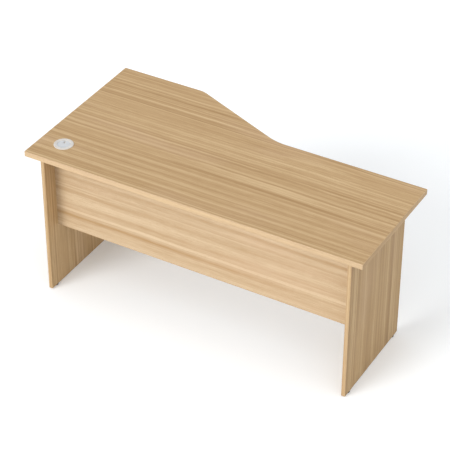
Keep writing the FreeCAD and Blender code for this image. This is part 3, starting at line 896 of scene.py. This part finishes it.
@dataclass
class ModestyPanel:
    """The set-back modesty panel and its lower edging."""

    seed: float = 27.0

    def build(self) -> None:
        """Dresses the board and the strip with the grain along the desk."""
        face = OakFoil("oak_modesty_panel", Axis.LENGTH, self.seed, Axis.DEPTH, contrast=0.95,
                       lines_per_metre=31.0, body=(0.460, 0.328, 0.198), pale=(0.590, 0.449, 0.294))
        dress("modesty_panel_board", face.make())
        strip = OakFoil("oak_edging_modesty", Axis.LENGTH, self.seed + 2.0, even_axis=Axis.HEIGHT)
        dress("modesty_panel_edging_bottom", strip.make())


@dataclass
class JointFittings:
    """The cam locks, bolts, cover caps and dowels that hold the boards together. Sizes in millimetres."""

    dowel_radius: float = 4.0
    dowel_chamfer: float = 1.0
    dowel_flutes: int = 12
    flute_depth: float = 0.5
    points_per_flute: int = 8
    head_radius: float = 3.2
    head_length: float = 2.4
    neck_radius: float = 1.9
    neck_end: float = 5.8
    shank_radius: float = 3.5
    thread_length: float = 11.0
    thread_root: float = 1.8
    thread_crest: float = 2.5
    thread_pitch: float = 1.8
    tip_length: float = 2.0
    point_radius: float = 0.6
    rounding: float = 0.4

    def build(self) -> None:
        """Dresses the cams and caps, and builds the bolts and dowels."""
        zinc = WorkedMetal("cast_zinc", (0.46, 0.46, 0.47), (0.36, 0.36, 0.37), 0.46, tool_marks=300.0).make()
        steel = WorkedMetal("plated_steel", (0.60, 0.60, 0.61), (0.52, 0.50, 0.46), 0.30).make()
        cap = MouldedPlastic("oak_cap_plastic", (0.43, 0.285, 0.155), (0.47, 0.325, 0.190), 0.42).make()
        beech = Beech("beech").make()
        for group in JOINT_GROUPS:
            dress(f"{group}_cams", zinc)
            dress(f"{group}_cam_caps", cap)
            self._bolts(group, steel)
            self._dowels(group, beech)

    def _bolts(self, group: str, steel: bpy.types.Material) -> None:
        """One group's bolts, each with a mushroom head, a neck, a shank and a chipboard thread.

        Args:
            group: the joint group's name.
            steel: the bolts' finish.
        """
        node = f"{group}_cam_bolts"
        work = RingMesh(Vector(), ROUND_SIDES)
        for low, high in separate_solids(node):
            foot, way, length = rod_axis(low, high)
            work.start(foot, way)
            soft, neck, shank = self.rounding, self.neck_radius, self.shank_radius
            seam = length - self.thread_length
            end = work.ring(self.head_radius - soft, 0.0)
            rings = [end, work.ring(self.head_radius, soft)]
            rings += [work.ring(self.head_radius, self.head_length - soft)]
            rings += [work.ring(neck + soft, self.head_length), work.ring(neck, self.head_length + soft)]
            rings += [work.ring(neck, self.neck_end), work.ring(shank - soft, self.neck_end)]
            rings += [work.ring(shank, self.neck_end + soft), work.ring(shank, seam - soft)]
            rings += [work.ring(shank - soft, seam)]
            levels = (seam, length - self.tip_length)
            lower, upper = work.thread(levels, self.thread_root, self.thread_crest, self.thread_pitch)
            point = work.ring(self.point_radius, length)
            work.lid(end)
            work.skin(rings + [lower])
            work.skin([upper, point])
            work.lid(point)
        work.finish(f"{group}_threaded_bolts", steel, "desk", node)

    def _dowels(self, group: str, beech: bpy.types.Material) -> None:
        """One group's dowels, fluted so that glue and air can pass, with chamfered ends.

        Args:
            group: the joint group's name.
            beech: the dowels' finish.
        """
        node = f"{group}_dowels"
        work = RingMesh(Vector(), self.points_per_flute * self.dowel_flutes)
        fluted = scallops(self.dowel_radius, self.flute_depth, self.dowel_flutes)
        for low, high in separate_solids(node):
            foot, way, length = rod_axis(low, high)
            work.start(foot, way)
            start = work.ring(self.dowel_radius - self.dowel_chamfer, 0.0)
            end = work.ring(self.dowel_radius - self.dowel_chamfer, length)
            sides = [work.ring(fluted, self.dowel_chamfer), work.ring(fluted, length - self.dowel_chamfer)]
            work.lid(start)
            work.skin([start, *sides, end])
            work.lid(end)
        work.finish(f"{group}_fluted_dowels", beech, "desk", node)


@dataclass
class LevellingFoot:
    """One levelling foot: a threaded insert, a screw with a hexagon socket, and a nylon pad.

    Sizes are in millimetres, and the pad's heights are above the floor.
    """

    side: str
    place: str
    steel: bpy.types.Material
    nylon: bpy.types.Material
    crest: float = 3.98
    root: float = 3.34
    pitch: float = 1.25
    head_radius: float = 6.5
    head_height: float = 1.8
    head_arris: float = 0.3
    head_to_thread: float = 0.3
    collar: float = 0.2
    socket_half_width: float = 2.0
    socket_mouth: float = 2.6
    socket_depth: float = 4.0
    tip_chamfer: float = 0.7
    rim_grooves: int = 20
    groove_depth: float = 0.45
    points_per_groove: int = 6
    pad_hole: float = 3.2
    pad_neck: float = 4.1
    pad_shoulder: float = 7.2
    hollow_radius: float = 6.6
    hollow_levels: tuple[float, float] = (1.3, 3.3)
    sole_groove: tuple[float, float] = (5.0, 8.7)
    sole_groove_depth: float = 0.3

    @property
    def prefix(self) -> str:
        """The start of the names of the foot's pieces."""
        return f"{self.side}_{self.place}_foot"

    def build(self) -> None:
        """Dresses the insert, and builds the screw and the pad."""
        dress(f"{self.prefix}_insert", self.steel)
        self._screw()
        self._pad()

    def _screw(self) -> None:
        """The screw, from its socket in the head's underside to its tip."""
        node = f"{self.prefix}_stud"
        low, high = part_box(node)
        axis = (low + high) / 2
        bottom, top = low.z / MM, high.z / MM
        work = RingMesh(Vector((axis.x, axis.y, 0.0)), ROUND_SIDES)
        socket = hexagon(self.socket_half_width)
        roof = work.ring(socket, bottom + self.socket_depth)
        work.lid(roof)
        head, arris, seat = self.head_radius, self.head_arris, bottom + self.head_height
        rings = [roof, work.ring(socket, bottom + arris), work.ring(self.socket_mouth, bottom)]
        rings += [work.ring(head - arris, bottom), work.ring(head, bottom + arris)]
        rings += [work.ring(head, seat - arris), work.ring(head - arris, seat)]
        rings += [work.ring(self.root + self.collar, seat)]
        levels = (seat + self.head_to_thread, top - self.tip_chamfer)
        start, end = work.thread(levels, self.root, self.crest, self.pitch)
        work.skin(rings + [start])
        tip = work.ring(self.root - self.tip_chamfer, top)
        work.skin([end, tip])
        work.lid(tip)
        work.finish(f"{self.prefix}_screw", self.steel, f"{self.side}_{self.place}_stud", node)

    def _pad(self) -> None:
        """The pad, with a grooved rim, a hollow for the screw's head and a ring groove underneath."""
        node = f"{self.prefix}_pad"
        low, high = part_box(node)
        axis = (low + high) / 2
        radius = (high.x - low.x) / 2 / MM
        top = high.z / MM
        work = RingMesh(Vector((axis.x, axis.y, 0.0)), self.points_per_groove * self.rim_grooves)
        grooved = scallops(radius, self.groove_depth, self.rim_grooves)
        inner, outer = self.sole_groove
        step = self.sole_groove_depth
        seat, roof = self.hollow_levels
        sole = ((self.pad_hole, 0.0), (inner, 0.0), (inner + step, step), (outer - step, step), (outer, 0.0))
        rim = ((radius - 1.0, 0.0), (radius - 0.5, 0.2), (grooved, 0.9), (grooved, top - 1.3),
               (radius - 0.5, top - 0.5), (radius - 1.1, top - 0.2))
        inside = ((self.pad_shoulder, top), (self.pad_neck, top), (self.pad_neck, roof),
                  (self.hollow_radius, roof), (self.hollow_radius, seat), (self.pad_hole, seat))
        work.skin([work.ring(reach, height) for reach, height in (*sole, *rim, *inside)], closed=True)
        work.finish(f"{self.prefix}_glide", self.nylon, f"{self.side}_{self.place}_pad", node)


@dataclass
class CablePort:
    """The cable port: liner, cover and turning shutter in silver-grey plastic."""

    rim_colours: tuple[Colour, Colour] = ((0.605, 0.575, 0.535), (0.66, 0.635, 0.60))
    disc_colours: tuple[Colour, Colour] = ((0.52, 0.54, 0.56), (0.58, 0.60, 0.62))
    rim_roughness: float = 0.36
    disc_roughness: float = 0.34
    flake: float = 0.2

    def build(self) -> None:
        """Dresses the port's three pieces."""
        rim = MouldedPlastic("port_rim_silver", *self.rim_colours, self.rim_roughness,
                             flake=self.flake).make()
        disc = MouldedPlastic("port_disc_silver", *self.disc_colours, self.disc_roughness,
                              flake=self.flake).make()
        dress("cable_port_liner", rim)
        dress("cable_port_cover", rim)
        dress("cable_port_shutter", disc)


# ---------------------------------------------------------------- studio


@dataclass
class Studio:
    """A white floor and backdrop, a broad low key light from behind the desk, a soft fill and the camera."""

    floor_half: float = 14.0
    backdrop_radius: float = 13.0
    backdrop_cove: float = 2.5
    backdrop_height: float = 9.0
    backdrop_sides: int = 96
    cove_step: int = 10
    floor_colour: Colour = (0.905, 0.925, 0.945)
    floor_hollows: Colour = (0.891425, 0.911125, 0.930825)
    floor_glow: Colour = (0.105, 0.11, 0.11)
    backdrop_colour: Colour = (0.90, 0.90, 0.90)
    backdrop_hollows: Colour = (0.88, 0.88, 0.88)
    backdrop_glow: Colour = (0.55, 0.55, 0.55)
    sky: float = 0.70
    key_from: tuple[float, float, float] = (0.34, 0.76, 0.345)
    key_strength: float = 2.1
    key_spread: float = math.radians(32.0)
    fill_from: tuple[float, float, float] = (-0.25, 0.43, 0.87)
    fill_strength: float = 0.72
    fill_spread: float = math.radians(70.0)
    azimuth: float = math.radians(209.886)
    elevation: float = math.radians(35.748)
    distance: float = 8.4192
    lens: float = 143.415
    roll: float = math.radians(0.11)
    aim: tuple[float, float, float] = (0.3007, -0.4424, 0.0)

    def build(self) -> None:
        """Makes the floor, the backdrop, the lights and the camera."""
        self._floor()
        self._backdrop()
        self._lights()
        self._camera()

    def _floor(self) -> None:
        """A seamless white floor with a faint eggshell texture."""
        mesh = bpy.data.meshes.new("studio_floor")
        h = self.floor_half
        mesh.from_pydata([(-h, -h, 0), (h, -h, 0), (h, h, 0), (-h, h, 0)], [], [(0, 1, 2, 3)])
        white = StudioWhite("studio_white", self.floor_colour, self.floor_hollows, self.floor_glow, 220.0)
        mesh.materials.append(white.make())
        floor = add_to_scene("studio_floor", mesh)
        floor.location.z = cad_low.z

    def _backdrop(self) -> None:
        """A round white wall that curves up out of the floor. It doesn't change the light on the desk."""
        work = RingMesh(Vector((0.0, 0.0, cad_low.z)), self.backdrop_sides)
        wall, cove = self.backdrop_radius / MM, self.backdrop_cove / MM
        rings = []
        for angle in range(0, 91, self.cove_step):
            bend = math.radians(angle)
            rings.append(work.ring(wall - cove * (1.0 - math.sin(bend)), cove * (1.0 - math.cos(bend))))
        work.skin(rings + [work.ring(wall, self.backdrop_height / MM)])
        white = StudioWhite("studio_backdrop_white", self.backdrop_colour, self.backdrop_hollows,
                            self.backdrop_glow, 90.0)
        backdrop = work.to_object("studio_backdrop", white.make())
        for ray in ("diffuse", "glossy", "transmission", "shadow"):
            setattr(backdrop, f"visible_{ray}", False)

    def _lights(self) -> None:
        """An even white sky, a low broad key light and a weaker, higher fill light."""
        world = bpy.data.worlds.new("studio_sky")
        world.use_nodes = True
        background = world.node_tree.nodes["Background"]
        background.inputs["Color"].default_value = (1.0, 1.0, 1.0, 1.0)
        background.inputs["Strength"].default_value = self.sky
        bpy.context.scene.world = world
        self._sun("key_light", self.key_from, self.key_strength, self.key_spread)
        self._sun("fill_light", self.fill_from, self.fill_strength, self.fill_spread)
        bpy.context.scene.view_settings.view_transform = "Standard"

    @staticmethod
    def _sun(name: str, way: tuple[float, float, float], strength: float, spread: float) -> None:
        """One broad, far-off light.

        Args:
            name: the light's name.
            way: the direction towards it.
            strength: its strength.
            spread: the angle that it fills, in radians.
        """
        data = bpy.data.lights.new(name, "SUN")
        data.energy = strength
        data.angle = spread
        light = add_to_scene(name, data)
        light.rotation_mode = "QUATERNION"
        light.rotation_quaternion = Vector(way).to_track_quat("Z", "Y")

    def _camera(self) -> None:
        """The camera, aimed at a point on the floor under the desk."""
        a, e = self.azimuth, self.elevation
        back = Vector((math.sin(a) * math.cos(e), -math.cos(a) * math.cos(e), math.sin(e)))
        data = bpy.data.cameras.new("camera")
        data.lens = self.lens
        data.clip_end = 100.0
        camera = add_to_scene("camera", data)
        camera.location = Vector(self.aim) + back * self.distance
        camera.rotation_mode = "QUATERNION"
        camera.rotation_quaternion = (-back).to_track_quat("-Z", "Y") @ Quaternion(UP, self.roll)
        bpy.context.scene.camera = camera


def main() -> None:
    """Builds the desk's looks and the studio, and reports each piece."""
    logging.basicConfig(level=logging.INFO, format="%(name)s: %(message)s")
    Studio().build()
    Worktop().build()
    EndPanel("deep_end", 51.0).build()
    # The shallow end panel's darker, warmer tone is painted shade, the shade that falls on that side of the
    # desk.
    EndPanel("shallow_end", 63.0, (0.905, 0.885, 0.835)).build()
    ModestyPanel().build()
    JointFittings().build()
    steel = WorkedMetal("foot_steel", (0.60, 0.60, 0.61), (0.52, 0.50, 0.46), 0.30).make()
    nylon = MouldedPlastic("black_nylon", (0.020, 0.020, 0.021), (0.032, 0.032, 0.033), 0.5).make()
    for side in SIDES:
        for place in PLACES:
            LevellingFoot(side, place, steel, nylon).build()
    CablePort().build()


if __name__ == "__main__":
    main()
